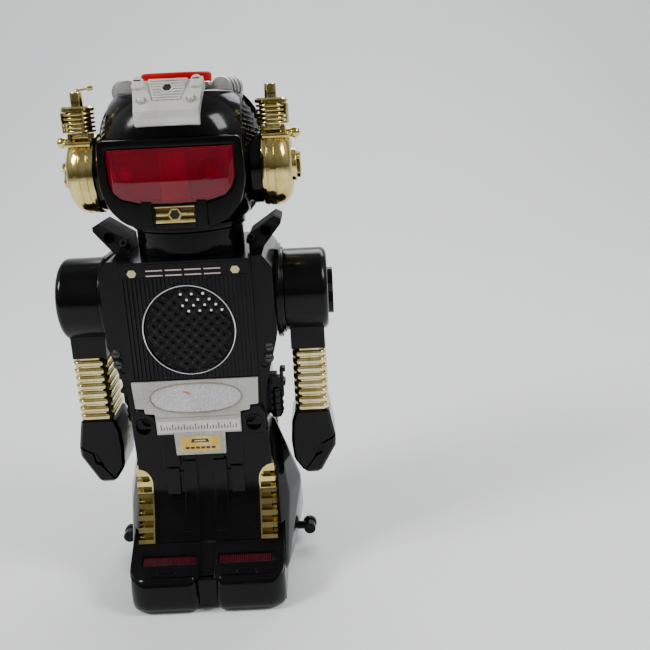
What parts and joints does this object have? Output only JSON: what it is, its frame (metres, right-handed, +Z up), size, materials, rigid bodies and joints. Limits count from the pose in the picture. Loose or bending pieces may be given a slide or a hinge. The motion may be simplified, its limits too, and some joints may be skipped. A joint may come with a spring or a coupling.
{
  "type": "toy robot",
  "caption": "Black moulded battery toy robot with a turning visored head, plated ear cups and tilting antennas, swinging arms, rear slide switch and a swivelling drive truck under its feet.",
  "frame": {"origin": "floor level below the middle of the overall box", "axes": "+Z up, -Y towards the robot's face, +X towards the robot's own left"},
  "size_m": [0.156, 0.113, 0.29],
  "materials": {
    "black_plastic": "gloss",
    "gold_plating": "gold vacuum plating on plastic, polished, worn",
    "red_clear": "clear gloss",
    "red_plastic": "gloss",
    "bulb_glass": "clear",
    "silver_paint": "silver paint on plastic, satin",
    "bright_silver": "silver plating on plastic, polished",
    "grey_paint": "metallic grey paint on plastic, satin",
    "dark_metal": "satin",
    "board": "matt",
    "cell_jacket": "satin",
    "orange_plastic": "satin",
    "steel": "satin",
    "white_plastic": "matt",
    "brass": "satin",
    "rubber": "matt"
  },
  "bodies": {
    "body": {"torso_front_shell": "black_plastic", "torso_rear_shell": "black_plastic", "rear_grille": "black_plastic", "rear_hatch": "black_plastic", "neck_tube": "black_plastic", "collar_wings": "black_plastic", "shoulder_collars": "black_plastic", "speaker_ring": "bright_silver", "speaker_grille": "black_plastic", "speaker": "dark_metal", "circuit_board": "board", "chest_plate": "grey_paint", "waist_clips": "black_plastic", "leg_front_shell": "black_plastic", "leg_rear_shell": "black_plastic", "leg_trims": "gold_plating", "foot_cover": "black_plastic", "base_tray": "black_plastic", "foot_lamps": "red_clear", "side_pods": "black_plastic", "exhaust_nozzles": "black_plastic", "battery_cells": "cell_jacket", "battery_door": "black_plastic", "switch_unit": "bright_silver", "case_screws": "steel"},
    "head": {"head_front_shell": "black_plastic", "head_rear_shell": "black_plastic", "head_base": "black_plastic", "neck_retainer": "steel", "visor_bezel": "black_plastic", "visor_lens": "red_clear", "visor_centre_strip": "red_clear", "eye_reflectors": "red_clear", "eye_bulbs": "bulb_glass", "mouth_vent": "gold_plating", "forehead_block": "silver_paint", "crown_ring": "bright_silver", "crown_lamp": "red_plastic", "crown_rolls": "silver_paint", "ear_cup_left": "gold_plating", "ear_cup_right": "gold_plating", "ear_bases": "black_plastic"},
    "antenna_left": {"antenna_left": "gold_plating"},
    "antenna_right": {"antenna_right": "gold_plating"},
    "arm_left": {"upper_arm_left": "black_plastic", "forearm_left": "gold_plating", "hand_left": "black_plastic", "arm_retainer_left": "steel"},
    "arm_right": {"upper_arm_right": "black_plastic", "forearm_right": "gold_plating", "hand_right": "black_plastic", "arm_retainer_right": "steel"},
    "switch_knob": {"switch_knob": "orange_plastic"},
    "truck": {"drive_truck": "white_plastic", "drive_motor": "steel"},
    "motor_shaft": {"motor_pinion": "brass"},
    "idler": {"idler_gear": "white_plastic"},
    "drive_axle": {"drive_axle": "steel", "drive_wheels": "rubber"},
    "rear_wheels": {"rear_wheels": "black_plastic"}
  },
  "joints": [
    {"name": "head_turn", "type": "hinge", "parent": "body", "child": "head", "pos_m": [0, 0.0085, 0.205], "axis": [0, 0, 1], "range_deg": [-80, 80]},
    {"name": "arm_left_swing", "type": "hinge", "parent": "body", "child": "arm_left", "pos_m": [0.063, 0.0085, 0.169], "axis": [-1, 0, 0], "range_deg": [-50, 120]},
    {"name": "arm_right_swing", "type": "hinge", "parent": "body", "child": "arm_right", "pos_m": [-0.063, 0.0085, 0.169], "axis": [-1, 0, 0], "range_deg": [-50, 120]},
    {"name": "antenna_left_tilt", "type": "hinge", "parent": "head", "child": "antenna_left", "pos_m": [0.05, -0.0075, 0.26], "axis": [-1, 0, 0], "range_deg": [0, 25]},
    {"name": "antenna_right_tilt", "type": "hinge", "parent": "head", "child": "antenna_right", "pos_m": [-0.05, -0.0075, 0.26], "axis": [-1, 0, 0], "range_deg": [0, 25]},
    {"name": "power_switch", "type": "slide", "parent": "body", "child": "switch_knob", "axis": [-1, 0, 0], "range_m": [0, 0.0046]},
    {"name": "truck_swivel", "type": "hinge", "parent": "body", "child": "truck", "pos_m": [0, -0.0135, 0.03], "axis": [0, 0, 1], "continuous": true},
    {"name": "drive_axle_spin", "type": "hinge", "parent": "truck", "child": "drive_axle", "pos_m": [0, -0.0195, 0.011], "axis": [1, 0, 0], "continuous": true},
    {"name": "idler_spin", "type": "hinge", "parent": "truck", "child": "idler", "pos_m": [0, -0.00832, 0.01507], "axis": [1, 0, 0], "continuous": true},
    {"name": "motor_spin", "type": "hinge", "parent": "truck", "child": "motor_shaft", "pos_m": [0, 0.00279, 0.00989], "axis": [1, 0, 0], "continuous": true},
    {"name": "rear_wheels_spin", "type": "hinge", "parent": "body", "child": "rear_wheels", "pos_m": [0, 0.0479, 0.006], "axis": [1, 0, 0], "continuous": true}
  ],
  "couplings": [
    {"joint": "idler_spin", "follows": "drive_axle_spin", "ratio": -2.4},
    {"joint": "motor_spin", "follows": "drive_axle_spin", "ratio": 6.9333}
  ]
}
